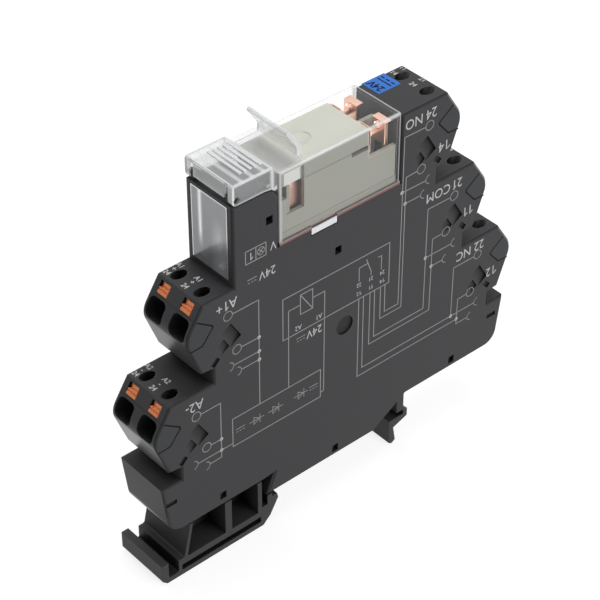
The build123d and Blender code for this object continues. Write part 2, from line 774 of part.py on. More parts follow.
floor_z = boss_top + 0.8
frame_top = case_top - case_t - 0.3
window_x0, window_x1 = rx0 + 2.25, rx0 + 6.25
yoke_x = nc_pin_x - 0.8
lid_end = pin_xs["com"] - 0.5
lid_t = 0.45
ledge_z = seat_z + 11.3
chamber_wall_z = seat_z + 8.7
with BuildPart() as relay_frame:
    box(bx0 + 0.1, bx1 - 0.1, -by + 0.1, by - 0.1, boss_top, frame_top)
    box(bx0 + 0.9, yoke_x - 0.4, -by + 0.9, by - 0.9, floor_z, frame_top - 0.8, Mode.SUBTRACT)
    box(yoke_x - 0.5, bx1 - 0.5, -by + 0.9, by - 0.9, floor_z, frame_top - lid_t, Mode.SUBTRACT)
    box(lid_end, bx1, -by + 0.9, by - 0.9, floor_z, frame_top + 1, Mode.SUBTRACT)
    box(lid_end, bx1, -by - 1, by + 1, chamber_wall_z, frame_top + 1, Mode.SUBTRACT)
    # Ledge along the near wall, with a slot below the lid's end
    box(window_x1 + 0.3, lid_end, -by - 1, -by + 0.3, ledge_z, frame_top - 0.5, Mode.SUBTRACT)
    box(lid_end - 4.2, lid_end - 0.3, -by - 1, -by + 1, ledge_z - 0.7, ledge_z + 0.1, Mode.SUBTRACT)
    box(bx0 + 0.5, window_x0 + 0.1, -by - 1, -by + 1, seat_z + 8.9, frame_top - 0.5, Mode.SUBTRACT)
    box(window_x0, window_x1, -by - 1, -by + 1, boss_top + 3.4, frame_top - 0.5, Mode.SUBTRACT)
    box(window_x0 - 0.4, window_x1 + 0.4, -by + 0.9, -by + 1.4, frame_top - 3.8, frame_top - 0.4)
    for x in (bx0 + 1.95, yoke_x - 1.7):
        box(x, x + 0.7, -by + 0.5, by - 0.5, floor_z - 0.2, coil_z + winding_h / 2 + 0.2)
    with BuildSketch(Plane.YZ.offset(bx0 + 1.95)):
        with Locations((0, coil_z)):
            Circle(core_r + 0.5)
    extrude(amount=yoke_x - 1.0 - bx0 - 1.95)
    with BuildSketch(Plane.YZ.offset(bx0 + 1.35)):
        with Locations((0, coil_z)):
            Circle(core_r)
    extrude(amount=yoke_x - 0.4 - bx0 - 1.35, mode=Mode.SUBTRACT)
    box(nc_pin_x + 1.2, bx1 - 0.4, -0.4, 0.4, boss_top + 0.4, frame_top - 2.3)
    pin_slots(pin_xs.values(), 0, boss_top - 1, floor_z + 1)
save(relay_frame, "relay_frame")

with BuildPart() as coil_winding:
    with BuildSketch(Plane.YZ.offset(bx0 + 2.7)):
        with Locations((0, coil_z)):
            RectangleRounded(winding_w, winding_h, 2.4)
            Circle(core_r + 0.5, mode=Mode.SUBTRACT)
    extrude(amount=yoke_x - 1.75 - bx0 - 2.7)
save(coil_winding, "coil_winding")

yoke_z0 = coil_z + winding_h / 2 + 0.25
yoke_z1 = yoke_z0 + 0.9
yoke_y = 3.2
with BuildPart() as core_yoke:
    with BuildSketch(Plane.YZ.offset(bx0 + 1.35)):
        with Locations((0, coil_z)):
            Circle(core_r)
    extrude(amount=yoke_x - 0.9 - bx0 - 1.35)
    box(bx0 + 0.95, bx0 + 1.75, -yoke_y, yoke_y, coil_z - 2.5, yoke_z1)
    box(bx0 + 0.95, yoke_x, -yoke_y, yoke_y, yoke_z0, yoke_z1)
save(core_yoke, "core_yoke")

with BuildPart() as armature:
    box(yoke_x + 0.05, yoke_x + 0.95, -3.0, 3.0, coil_z - 2.5, frame_top - lid_t - 0.05)
save(armature, "armature")

com_x = pin_xs["com"]
with BuildPart() as card:
    box(yoke_x + 1.0, com_x - 0.15, -4.4, 4.4, frame_top - lid_t - 0.75, frame_top - lid_t - 0.05)
save(card, "card")

button_r = 0.7
button_z = frame_top - 2.5
no_gap = 0.42
for pole, y_pin in ((1, -pin_row / 2), (2, pin_row / 2)):
    y0, y1 = y_pin - pin_t / 2, y_pin + pin_t / 2
    with BuildPart() as nc_contact:
        x = pin_xs["nc"]
        box(x - pin_w / 2, x + pin_w / 2, y0, y1, seat_z - pin_l, button_z + 0.4)
        box(x - pin_w / 2, com_x - 0.75, y0, y1, button_z - 0.4, button_z + 0.4)
        with BuildSketch(Plane.YZ.offset(com_x - 0.76)):
            with Locations((y_pin, button_z)):
                Circle(button_r)
        extrude(amount=0.38)
    save(nc_contact, f"relay_contact_{pole}2")
    with BuildPart() as no_contact:
        x = pin_xs["no"]
        box(x - pin_w / 2, x + pin_w / 2, y0, y1, seat_z - pin_l, button_z + 0.4)
        box(com_x + 0.74 + no_gap, x + pin_w / 2, y0, y1, button_z - 0.4, button_z + 0.4)
        with BuildSketch(Plane.YZ.offset(com_x + 0.36 + no_gap)):
            with Locations((y_pin, button_z)):
                Circle(button_r)
        extrude(amount=0.4)
    save(no_contact, f"relay_contact_{pole}4")
    with BuildPart() as com_pin:
        box(com_x - pin_w / 2, com_x + pin_w / 2, y0, y1, seat_z - pin_l, floor_z)
    save(com_pin, f"relay_pin_{pole}1")
    with BuildPart() as moving_spring:
        box(com_x - 0.1, com_x + 0.1, y_pin - 1.0, y_pin + 1.0, floor_z + 0.1, frame_top - 0.1)
        with BuildSketch(Plane.YZ.offset(com_x - 0.35)):
            with Locations((y_pin, button_z)):
                Circle(button_r)
        extrude(amount=0.7)
    save(moving_spring, f"moving_spring_{pole}")

for mark, y_pin in (("near", -pin_row / 2), ("far", pin_row / 2)):
    with BuildPart() as coil_pin:
        x = coil_pin_x
        y0, y1 = y_pin - pin_t / 2, y_pin + pin_t / 2
        box(x - pin_w / 2, x + pin_w / 2, y0, y1, seat_z - pin_l, floor_z)
    save(coil_pin, f"coil_pin_{mark}")
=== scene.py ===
import json
from math import atan2, cos, hypot, radians, sin

import bpy
from mathutils import Matrix, Vector


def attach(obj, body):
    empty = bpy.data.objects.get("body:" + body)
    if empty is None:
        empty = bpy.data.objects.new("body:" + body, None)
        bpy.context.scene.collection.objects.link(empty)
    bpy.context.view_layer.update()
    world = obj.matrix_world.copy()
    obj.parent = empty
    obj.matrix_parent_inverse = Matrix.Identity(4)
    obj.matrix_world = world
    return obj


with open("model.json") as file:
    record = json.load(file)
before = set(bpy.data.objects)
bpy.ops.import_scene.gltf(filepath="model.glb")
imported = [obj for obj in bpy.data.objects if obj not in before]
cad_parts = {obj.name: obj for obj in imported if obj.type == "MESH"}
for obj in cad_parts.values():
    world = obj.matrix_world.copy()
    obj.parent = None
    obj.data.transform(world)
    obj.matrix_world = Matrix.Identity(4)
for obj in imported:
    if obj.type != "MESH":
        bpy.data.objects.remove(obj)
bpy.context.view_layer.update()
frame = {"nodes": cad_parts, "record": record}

# Lengths are in millimetres unless a comment says otherwise, and MM turns them into metres.
# X runs from the input side to the output side, and Y from the printed near side to the far one.
MM = 0.001
NEAR_Y = -6.4

# Where the photograph was taken from, its place in metres and its angles in degrees
CAMERA_PLACE = (-0.19966, -0.22340, 0.27315)
CAMERA_DOWN = 38.583
CAMERA_TURN = -41.033
CAMERA_LENS = 122.19
SENSOR_WIDTH = 36


def aim_camera():
    """Put the camera where the photograph was taken from."""
    data = bpy.data.cameras.new("photo_camera")
    camera = bpy.data.objects.new("photo_camera", data)
    bpy.context.scene.collection.objects.link(camera)
    camera.location = CAMERA_PLACE
    camera.rotation_euler = (radians(90 - CAMERA_DOWN), 0, radians(CAMERA_TURN))
    data.lens = CAMERA_LENS
    data.sensor_width = SENSOR_WIDTH
    data.clip_start = 10 * MM
    bpy.context.scene.camera = camera


def only(obj):
    """Make obj the one selected and active object."""
    for other in bpy.context.selected_objects:
        other.select_set(False)
    obj.select_set(True)
    bpy.context.view_layer.objects.active = obj


def clear_selection():
    for other in bpy.context.selected_objects:
        other.select_set(False)


def settle(obj):
    """Put the object's place, turn and scale into its mesh."""
    only(obj)
    bpy.ops.object.transform_apply(location=True, rotation=True, scale=True)
    return obj


# Shader maths on sockets
class Wire:
    """A node's output that can be added, multiplied and compared."""

    def __init__(self, paint, socket):
        self.paint = paint
        self.socket = socket

    def math(self, operation, *values):
        return self.paint.node("ShaderNodeMath", {"operation": operation}, dict(enumerate(values)))

    def __add__(self, other):
        return self.math("ADD", self, other)

    def __radd__(self, other):
        return self.math("ADD", other, self)

    def __sub__(self, other):
        return self.math("SUBTRACT", self, other)

    def __rsub__(self, other):
        return self.math("SUBTRACT", other, self)

    def __mul__(self, other):
        return self.math("MULTIPLY", self, other)

    def __rmul__(self, other):
        return self.math("MULTIPLY", other, self)

    def __gt__(self, other):
        return self.math("GREATER_THAN", self, other)

    def __lt__(self, other):
        return self.math("LESS_THAN", self, other)

    def least(self, other):
        return self.math("MINIMUM", self, other)

    def most(self, other):
        return self.math("MAXIMUM", self, other)

    def clamp(self, low, high):
        return self.least(high).most(low)

    def within(self, low, high):
        """1 where the value lies between low and high, else 0."""
        return (self > low) * (self < high)

    def abs(self):
        return self.math("ABSOLUTE", self)

    def sine(self):
        return self.math("SINE", self)


# Sockets of a Mix node that mixes colours
MIX_FACTOR, MIX_FIRST, MIX_SECOND, MIXED = 0, 6, 7, 2


class Paint:
    """One material, with its Principled shader."""

    def __init__(self, name, **values):
        self.material = bpy.data.materials.new(name)
        self.material.use_nodes = True
        self.tree = self.material.node_tree
        self.shader = next(n for n in self.tree.nodes if n.type == "BSDF_PRINCIPLED")
        for label, value in values.items():
            self.put(label.replace("_", " "), value)

    def put(self, label, value):
        """Give a shader socket a value, a colour or a link."""
        socket = self.shader.inputs[label]
        if isinstance(value, Wire):
            self.tree.links.new(value.socket, socket)
        elif isinstance(value, (tuple, list)) and len(value) == 3:
            socket.default_value = (*value, 1)
        else:
            socket.default_value = value
        return self

    def node(self, kind, settings=None, inputs=None, output=0):
        """Add a node with its settings and the values or links of its sockets."""
        made = self.tree.nodes.new(kind)
        for key, value in (settings or {}).items():
            setattr(made, key, value)
        for key, value in (inputs or {}).items():
            if isinstance(value, Wire):
                self.tree.links.new(value.socket, made.inputs[key])
            else:
                made.inputs[key].default_value = value
        return Wire(self, made.outputs[output])

    def spot(self):
        """The point in the piece's own coordinates, in metres."""
        return self.node("ShaderNodeTexCoord", output="Object")

    def place(self):
        """The point's three coordinates in millimetres."""
        parts = self.tree.nodes.new("ShaderNodeSeparateXYZ")
        self.tree.links.new(self.spot().socket, parts.inputs[0])
        return [Wire(self, axis) * (1 / MM) for axis in parts.outputs]

    def cloud(self, scale, detail=2.0):
        """Noise fixed to the piece, with about scale lumps in a metre."""
        return self.node("ShaderNodeTexNoise", {}, {"Vector": self.spot(), "Scale": scale, "Detail": detail})

    def mix(self, factor, first, second):
        """A colour between two others."""
        made = self.tree.nodes.new("ShaderNodeMix")
        made.data_type = "RGBA"
        for key, value in ((MIX_FACTOR, factor), (MIX_FIRST, first), (MIX_SECOND, second)):
            if isinstance(value, Wire):
                self.tree.links.new(value.socket, made.inputs[key])
            elif isinstance(value, (tuple, list)):
                made.inputs[key].default_value = (*value[:3], 1)
            else:
                made.inputs[key].default_value = value
        return Wire(self, made.outputs[MIXED])

    def grain(self, scale, strength, depth, edge_radius):
        """Fine moulded texture on softened edges, through the Normal."""
        soft_edge = self.node("ShaderNodeBevel", {"samples": 4}, {"Radius": edge_radius * MM})
        grains = {"Height": self.cloud(scale, detail=3.0), "Strength": strength, "Distance": depth * MM}
        return self.put("Normal", self.node("ShaderNodeBump", {}, {**grains, "Normal": soft_edge}))


def srgb(hex_colour):
    """Linear colour from a written screen colour."""
    out = []
    for i in (0, 2, 4):
        c = int(hex_colour[i : i + 2], 16) / 255
        out.append(c / 12.92 if c <= 0.04045 else ((c + 0.055) / 1.055) ** 2.4)
    return tuple(out)


# Finishes
def painted_cavity_shade_and_shine(paint, surface):
    """Paint shade into the surface's colour in openings and sunken fields, and let it shine at grazing
    angles.
    """
    open_sky = paint.node(
        "ShaderNodeAmbientOcclusion", {"samples": 4, "only_local": True}, {"Distance": 4 * MM}, output="AO"
    )
    y, z = paint.place()[1:]
    normal = paint.node("ShaderNodeTexCoord", output="Normal")
    normal_y = paint.node("ShaderNodeSeparateXYZ", {}, {"Vector": normal}, output="Y")
    below_near_side = y - (NEAR_Y + 0.04)
    rail_foot_top = 9.0
    # Painted shade on faces that look towards the near side but lie set back from it, above the rail foot.
    painted_sunk_shade = (below_near_side * 2.4).clamp(0.0, 0.8) * (normal_y < -0.3) * (z > rail_foot_top)
    # Painted shade where ambient occlusion finds the surface enclosed, nearly black at its deepest.
    depth = ((0.8 - open_sky) * 2.4).clamp(0.0, 0.97)
    painted_shade_black = (0.0008, 0.0008, 0.001)
    facing = paint.node("ShaderNodeLayerWeight", {}, {"Blend": 0.5}, output="Facing")
    shine = ((facing - 0.67) * 4.0).clamp(0.0, 1.0)
    paint.put("Coat Weight", shine * ((open_sky - 0.35) * 3.0).clamp(0.0, 1.0))
    paint.put("Coat Roughness", 0.3)
    return paint.mix(depth.most(painted_sunk_shade), surface, painted_shade_black)


def moulded(name, colour, rough, painted_cavity_shade=False):
    """Moulded plastic: cloudy colour, fine grain, soft edges and, where asked, painted shade in cavities and
    sunken fields.
    """
    paint = Paint(name, Base_Color=colour, Roughness=rough)
    paint.put("Specular IOR Level", 0.2)
    dark = tuple(c * 0.93 for c in colour)
    light = tuple(min(1, c * 1.05) for c in colour)
    surface = paint.mix(paint.cloud(60.0), dark, light)
    # Where asked, shade is painted into the colour in cavities and sunken fields.
    if painted_cavity_shade:
        surface = painted_cavity_shade_and_shine(paint, surface)
    paint.put("Base Color", surface)
    paint.grain(scale=2600.0, strength=0.15, depth=0.03, edge_radius=0.12)
    return paint


def metal(name, colour, rough):
    """Bare metal, polished unevenly."""
    paint = Paint(name, Base_Color=colour, Metallic=1.0)
    smoothest = rough - 0.07
    paint.put("Roughness", paint.cloud(400.0) * 0.15 + smoothest)
    return paint


def copper_winding():
    """Fine turns of enamelled wire side by side along X."""
    paint = Paint("copper_winding", Roughness=0.4, Metallic=0.35)
    turns = (paint.place()[0] * 14.0).sine() * 0.5 + 0.5
    paint.put("Base Color", paint.mix(turns, srgb("dba28e"), srgb("f6d2c2")))
    return paint


def edge_distance(paint, low, high):
    """Distance from a box's nearest edge, for points on the box."""
    gaps = []
    for wire, a, b in zip(paint.place(), low, high):
        gaps.append((wire - a).abs().least((wire - b).abs()))
    least, most = gaps[0].least(gaps[1]), gaps[0].most(gaps[1])
    return least.most(most.least(gaps[2]))


def clear_plastic(name, tint):
    """Clear plastic with a slight haze; its Alpha is left to each piece."""
    paint = Paint(name, Base_Color=tint)
    paint.put("Specular IOR Level", 0.5)
    paint.put("Roughness", paint.cloud(90.0, detail=1.0) * 0.08 + 0.06)
    return paint


def relay_case_plastic():
    """Clear walls whose rims are painted bright as edge highlights, and a solid white lug."""
    case_low, case_high = (-15.45, -6.35, 50.0), (13.35, 6.35, 73.6)
    lug_top = 58.25
    paint = clear_plastic("relay_clear_plastic", (0.93, 0.95, 0.97))
    # Painted highlights: the Alpha rises near the case's edges, so its rims show bright white.
    rim = ((0.75 - edge_distance(paint, case_low, case_high)) * 1.7).clamp(0.0, 1.0)
    lug = paint.place()[2] < lug_top
    paint.put("Alpha", (rim * 0.55 + 0.04 + lug).clamp(0.0, 0.95))
    return paint


def clip_plastic():
    """Clear plastic with painted light in its Alpha: highlights along the lid's edges and the tab's rims,
    light on its ribs, end wall and lid top, bands across the lid, and denser up the finger tab.
    """
    lid_low, lid_high = (-25.9, -6.35, 71.0), (-17.0, 6.35, 75.5)
    lid_end_x, lid_face, rib_foot, rib_top = -16.0, 75.2, 75.6, 75.9
    tab_x, tab_foot, tab_edge, tab_top = -13.4, 74.6, 4.7, 79.4
    paint = clear_plastic("clip_clear_plastic", (0.93, 0.94, 0.95))
    x, y, z = paint.place()
    # Painted highlights along the lid's edges; below, painted light on the ribs, the end wall and the lid
    # top, and light and dark bands for the ribs' shading.
    rim = ((0.6 - edge_distance(paint, lid_low, lid_high)) * 2.0).clamp(0.0, 1.0) * (z < rib_foot)
    painted_rib_light = z.within(rib_foot - 0.05, rib_top) * (x < lid_end_x)
    tab = (x > tab_x) * (z > tab_foot)
    painted_tab_rim_light = tab * (y.abs() > tab_edge).most(z > tab_top)
    painted_end_wall_light = x < lid_low[0] + 0.5
    painted_rib_bands = (x * 2.6).sine().clamp(0.0, 1.0) * z.within(lid_face, rib_foot) * (x < lid_high[0])
    painted_lid_light = (z > lid_face) * (x < lid_end_x)
    # All of it is summed into the Alpha over the plastic's haze.
    haze_and_painted_light = rim * 0.6 + painted_rib_light * 0.6 + tab * 0.2 + painted_tab_rim_light * 0.25 + painted_end_wall_light * 0.5 + painted_rib_bands * 0.4 + painted_lid_light * 0.16
    paint.put("Alpha", (haze_and_painted_light + 0.19).clamp(0.0, 0.92))
    return paint


def beige_plastic():
    """The relay's frame: its top painted lighter and its walls greyer as light falls on them, and the white
    stop behind the left window.
    """
    frame_face = 72.72
    paint = moulded("frame_beige_plastic", srgb("a8a89e"), 0.5)
    x, y, z = paint.place()
    cloud = paint.cloud(60.0)
    # Painted light and shade: the walls a shaded grey-beige, the top a lit pale beige.
    wall = paint.mix(cloud, srgb("a3a399"), srgb("adada3"))
    top = paint.mix(cloud, srgb("e2e3d5"), srgb("ebecdf"))
    stop = x.within(-13.15, -8.7) * y.within(-4.95, -4.2) * z.within(68.7, 72.7)
    contact_chamber = x.within(5.9, 12.0) * (z > 66.6)
    # The top takes the lit colour, and the contact chamber above 66.6 a 35% share of it.
    pale = ((z > frame_face) + contact_chamber * 0.35).clamp(0.0, 1.0)
    paint.put("Base Color", paint.mix(stop, paint.mix(pale, wall, top), srgb("eeeeea")))
    return paint


def base_plastic():
    """The relay's base: red-brown rim below, and beige where it stands inside the case."""
    rim_top = 58.5
    paint = moulded("base_brown_plastic", srgb("8a5a5c"), 0.5)
    cloud = paint.cloud(60.0)
    rim = paint.mix(cloud, srgb("8a6164"), srgb("9a7073"))
    boss = paint.mix(cloud, srgb("a19f96"), srgb("aaa89e"))
    paint.put("Base Color", paint.mix(paint.place()[2] > rim_top, rim, boss))
    return paint


def window_plastic():
    """The clear marker window: grey, lighter towards the top, with a soft upright streak and a pool of
    painted light, and a bright rim.
    """
    window_foot, window_height = 55.0, 16.0
    rim_side, rim_top = 4.72, 70.35
    streak_y, streak_foot = 2.5, 58.0
    pool_y, pool_top = -2.6, 67.0
    paint = Paint("marker_window_plastic")
    y, z = paint.place()[1:]
    # Painted light: an upright streak and a pool of light, mixed into the colour towards near white.
    painted_streak_light = (1.0 - (y - streak_y).abs() * 1.3).clamp(0.0, 1.0) * ((z - streak_foot) * 0.25).clamp(0.0, 1.0)
    painted_light_pool = (1.0 - (y - pool_y).abs() * 0.42).clamp(0.0, 1.0) * ((pool_top - z) * 0.11).clamp(0.0, 1.0)
    light = (painted_streak_light * 0.9 + painted_light_pool * 0.7).clamp(0.0, 1.0)
    rim = (y.abs() > rim_side).most(z > rim_top)
    # The grey is lighter towards the top.
    height = ((z - window_foot) * (1 / window_height)).clamp(0.0, 1.0)
    window_grey_and_painted_light = paint.mix(light, paint.mix(height, srgb("96989b"), srgb("a9acaf")), srgb("f4f5f6"))
    paint.put("Base Color", paint.mix(rim, window_grey_and_painted_light, srgb("eceded")))
    paint.put("Roughness", paint.cloud(120.0) * 0.15 + 0.12)
    paint.put("Metallic", (light * 0.55 + rim * 0.4 + 0.28).clamp(0.0, 0.8))
    return paint


def lamp_plastic():
    """The indicator lamp: cloudy green."""
    paint = Paint("led_green", Roughness=0.2, Alpha=0.85)
    paint.put("Base Color", paint.mix(paint.cloud(300.0), (0.25, 0.6, 0.14), (0.45, 0.8, 0.3)))
    return paint


def ink(name, hex_colour):
    """Printed ink, a little uneven."""
    paint = Paint(name, Roughness=0.55)
    paint.put("Specular IOR Level", 0.08)
    full = srgb(hex_colour)
    thin = tuple(c * 0.86 for c in full)
    paint.put("Base Color", paint.mix(paint.cloud(500.0), thin, full))
    return paint


# One paint for each material slot of the CAD, and one for each of the two clear pieces
paints = {
    # The housing and its inserts get painted shade in their cavities and sunken fields.
    "housing_grey": moulded("housing_grey_plastic", srgb("3a3a3c"), 0.5, painted_cavity_shade=True),
    "insert_grey": moulded("insert_grey_plastic", srgb("37383a"), 0.42, painted_cavity_shade=True),
    "orange_plastic": moulded("orange_pusher_plastic", srgb("ff9c68"), 0.42),
    "spring_steel": metal("spring_steel", (0.6, 0.6, 0.61), 0.3),
    "tinned_copper": metal("tinned_copper", (0.62, 0.6, 0.57), 0.35),
    "board_green": moulded("board_green", (0.02, 0.12, 0.06), 0.4),
    "tag_blue": moulded("tag_blue_plastic", srgb("3b7fdc"), 0.35),
    "soft_iron": metal("plated_iron", (0.55, 0.55, 0.55), 0.35),
    "card_white": moulded("card_white_plastic", srgb("e4e4da"), 0.45),
    "contact_brass": metal("contact_copper", (0.86, 0.56, 0.44), 0.34),
    "relay_clear": relay_case_plastic(),
    "clip_clear": clip_plastic(),
    "frame_beige": beige_plastic(),
    "base_brown": base_plastic(),
    "window_grey": window_plastic(),
    "led_green": lamp_plastic(),
    "winding_copper": copper_winding(),
}
CLEAR_NODES = {"relay_case": "relay_clear", "ejector_clip": "clip_clear"}


def dress_nodes():
    """Give every CAD node the paint of its material slot."""
    for row in frame["record"]["subparts"]:
        node = row["node"]
        paint = paints[CLEAR_NODES.get(node, row["material_slot"])]
        obj = frame["nodes"][node]
        if obj.material_slots:
            for held in obj.material_slots:
                held.material = paint.material
        else:
            obj.data.materials.append(paint.material)


# Inks, and how thick they lie
print_white = ink("print_white", "d2d2d2")
print_grey = ink("print_grey", "a8a8a8")
print_dark = ink("print_dark", "10203e")
seam_black = ink("seam_black", "0b0c0d")
PRINT_T = 0.012


def finish_piece(obj, paint, body):
    """Paint a new piece and let it move with a body."""
    obj.data.materials.clear()
    obj.data.materials.append(paint.material)
    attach(obj, body)


def join(pieces, name):
    """Make one piece of several, with its place in its mesh."""
    clear_selection()
    for piece in pieces:
        piece.select_set(True)
    bpy.context.view_layer.objects.active = pieces[0]
    if len(pieces) > 1:
        bpy.ops.object.join()
    joined = bpy.context.view_layer.objects.active
    joined.name = name
    return settle(joined)


# Terminal heads: which side they stand on, how far out the nose is, and the height of the top
LOW_NOSE, MIDDLE_NOSE, HIGH_NOSE = 44.8, 36.7, 28.6
LOW_TOP, MIDDLE_TOP, HIGH_TOP = 35.0, 53.9, 72.8
HEAD_A2 = (-1, LOW_NOSE, LOW_TOP)
HEAD_A1 = (-1, MIDDLE_NOSE, MIDDLE_TOP)
HEAD_NO = (1, HIGH_NOSE, HIGH_TOP)
HEAD_COM = (1, MIDDLE_NOSE, MIDDLE_TOP)
HEAD_NC = (1, LOW_NOSE, LOW_TOP)
HEADS = [HEAD_A2, HEAD_A1, HEAD_NO, HEAD_COM, HEAD_NC]

# Outline of a terminal insert on the near side: in from the nose, up from the top
SEAM = [(2.45, -3.15), (5.5, -5.3), (5.75, -5.6), (5.65, -6.0), (3.6, -8.45), (3.2, -8.8), (0.9, -8.92)]
SEAM_W = 0.3

# Circuit diagram on the near side, as (x, z): its lines, from the inputs to the outputs
LINE_W = 0.19
THIN_LINE_W = 0.15
ROUTES = [
    [(-26.5, 48.75), (-20.5, 48.75), (-20.6, 24.3)],
    [(-24.7, 40.2), (-20.55, 40.2)],
    [(-26.5, 36.95), (-20.55, 36.95)],
    [(-24.75, 35.0), (-20.55, 35.0)],
    [(-34.4, 29.8), (-29.8, 29.8), (-29.9, 16.7), (-32.65, 16.6)],
    [(-32.3, 21.1), (-29.85, 21.1)],
    [(-35.4, 18.4), (-27.15, 18.4)],
    [(-27.15, 17.6), (-27.15, 24.3), (-5.7, 24.3), (-5.7, 17.5), (-27.15, 17.6)],
    [(-10.7, 40.2), (-10.7, 44.7), (-7.75, 44.7), (-7.75, 40.2), (-10.7, 40.2)],
    [(-10.7, 44.7), (-7.75, 40.2)],
    [(-10.7, 42.45), (-13.55, 42.45), (-13.6, 24.3)],
    [(-7.75, 42.6), (-4.8, 42.6), (-4.9, 18.6), (-5.7, 18.6)],
    [(-14.9, 36.25), (-14.9, 45.75), (11.3, 45.75), (11.35, 36.3), (-14.9, 36.25)],
    [(3.7, 40.5), (3.7, 43.55), (5.75, 43.6)],
    [(5.5, 44.6), (6.75, 41.2), (6.7, 40.5)],
    [(8.5, 43.7), (9.3, 43.7), (9.3, 40.5)],
    [(3.75, 36.25), (3.7, 17.2), (30.4, 17.2), (30.5, 22.2), (32.9, 22.3)],
    [(4.95, 36.25), (4.9, 18.85), (28.75, 18.85), (28.8, 30.85), (34.4, 30.85)],
    [(6.6, 36.25), (6.55, 23.75), (22.5, 23.75), (22.55, 40.95), (25.1, 41.0)],
    [(7.75, 36.25), (7.8, 25.0), (20.85, 25.0), (20.95, 48.7), (26.8, 48.65)],
    [(9.25, 36.25), (9.3, 28.6), (14.8, 28.6), (14.9, 58.8), (17.7, 58.9)],
    [(10.4, 36.25), (10.45, 29.75), (14.0, 29.75), (14.15, 67.85), (19.4, 67.8)],
    [(14.0, 55.75), (20.0, 55.7)],
    [(14.85, 52.9), (18.8, 52.9)],
    [(20.85, 37.3), (27.7, 37.3)],
    [(22.55, 34.5), (25.5, 34.5)],
    [(28.75, 18.85), (35.2, 18.85)],
    [(30.4, 17.2), (30.4, 16.0), (33.5, 16.0)],
    # The framed mark beside the column, with the cross of its lamp sign
    [(-23.3, 60.65), (-23.3, 57.9), (-18.65, 57.9), (-18.65, 60.65), (-23.3, 60.65)],
    [(-20.95, 57.9), (-20.95, 60.65)],
    [(-20.35, 58.75), (-19.25, 59.85)],
    [(-20.35, 59.85), (-19.25, 58.75)],
]
# Test points: centre and radius
RINGS = [
    (-27.5, 48.75, 1.0),
    (-25.65, 40.2, 1.0),
    (-35.35, 29.8, 1.0),
    (-33.25, 21.1, 1.0),
    (20.4, 67.8, 1.0),
    (18.7, 58.95, 1.0),
    (27.8, 48.65, 1.0),
    (26.1, 41.05, 1.0),
    (35.4, 30.9, 1.0),
    (33.9, 22.3, 1.0),
    (-19.8, 59.3, 0.8),
]
# Clamp symbols: the place of the arc's back, and which way it opens
FORKS = [
    (-26.5, 36.95, -1),
    (-24.75, 35.0, -1),
    (-35.4, 18.4, -1),
    (-32.65, 16.6, -1),
    (20.0, 55.7, 1),
    (18.8, 52.9, 1),
    (27.7, 37.3, 1),
    (25.5, 34.5, 1),
    (35.2, 18.85, 1),
    (33.5, 16.0, 1),
]
# Joints between lines
DOT_R = 0.42
DOTS = [
    (-20.55, 40.2),
    (-20.55, 36.95),
    (-20.55, 35.0),
    (-29.85, 21.1),
    (-29.87, 18.4),
    (14.0, 55.75),
    (14.88, 52.9),
    (20.88, 37.3),
    (22.52, 34.5),
    (28.75, 18.85),
    (30.4, 17.25),
]
# Diodes along the input circuit: triangle, bar and leads
DIODES = [(-21.4, 20.95), (-16.8, 20.95), (-10.6, 20.95)]
# Words, their centres and heights; they stand on their heads, as on the real part. The font is
# sized by its line, so a letter's height is brought to it, and the letters are a little narrowed.
FONT_SIZE_PER_HEIGHT = 1.37
NARROWED = 0.92
WORDS = [
    ("A1+", -27.8, 51.3, 2.2),
    ("A2-", -35.7, 32.4, 2.2),
    ("24", 20.7, 70.4, 2.2),
    ("NO", 16.4, 70.3, 2.2),
    ("14", 24.3, 61.7, 2.2),
    ("21", 28.4, 51.3, 2.2),
    ("COM", 23.5, 51.3, 2.2),
    ("11", 31.7, 43.4, 2.2),
    ("22", 35.6, 33.2, 2.2),
    ("NC", 31.4, 33.1, 2.2),
    ("12", 39.5, 24.8, 2.2),
    ("24V", -7.3, 34.5, 1.9),
    ("24V", -18.4, 53.9, 1.9),
    ("V", -17.0, 59.2, 1.9),
    ("1", -22.1, 59.3, 1.7),
    ("A2", -11.2, 37.4, 1.1),
    ("A1", -6.2, 37.4, 1.1),
    ("22", 3.7, 39.6, 0.95),
    ("12", 3.7, 37.6, 0.95),
    ("21", 6.7, 39.6, 0.95),
    ("11", 6.7, 37.6, 0.95),
    ("24", 9.6, 39.6, 0.95),
    ("14", 9.6, 37.6, 0.95),
]
# Direct current marks
DC_MARKS = [(-10.6, 34.5), (-21.9, 53.9), (-25.3, 20.95), (-7.45, 20.95)]


def turn_faces_outwards():
    """End an edit: let all faces of the piece point outwards, and leave edit mode."""
    bpy.ops.mesh.select_all(action="SELECT")
    bpy.ops.mesh.normals_make_consistent(inside=False)
    bpy.ops.object.mode_set(mode="OBJECT")


def thicken(piece):
    """Draw the piece's flat face out towards the near side, as thick as ink lies."""
    only(piece)
    bpy.ops.object.mode_set(mode="EDIT")
    bpy.ops.mesh.select_all(action="SELECT")
    bpy.ops.mesh.extrude_region_move(TRANSFORM_OT_translate={"value": (0, -PRINT_T * MM, 0)})
    turn_faces_outwards()


def first_bar():
    """A printed stroke of unit length and width, which the others are copied from."""
    clear_selection()
    bpy.ops.mesh.primitive_plane_add(size=1, rotation=(radians(90), 0, 0))
    piece = settle(bpy.context.object)
    thicken(piece)
    return piece


def first_dot():
    """A printed dot of unit radius, which the others are copied from."""
    clear_selection()
    bpy.ops.mesh.primitive_circle_add(vertices=20, radius=1, fill_type="NGON", rotation=(radians(90), 0, 0))
    piece = settle(bpy.context.object)
    thicken(piece)
    return piece


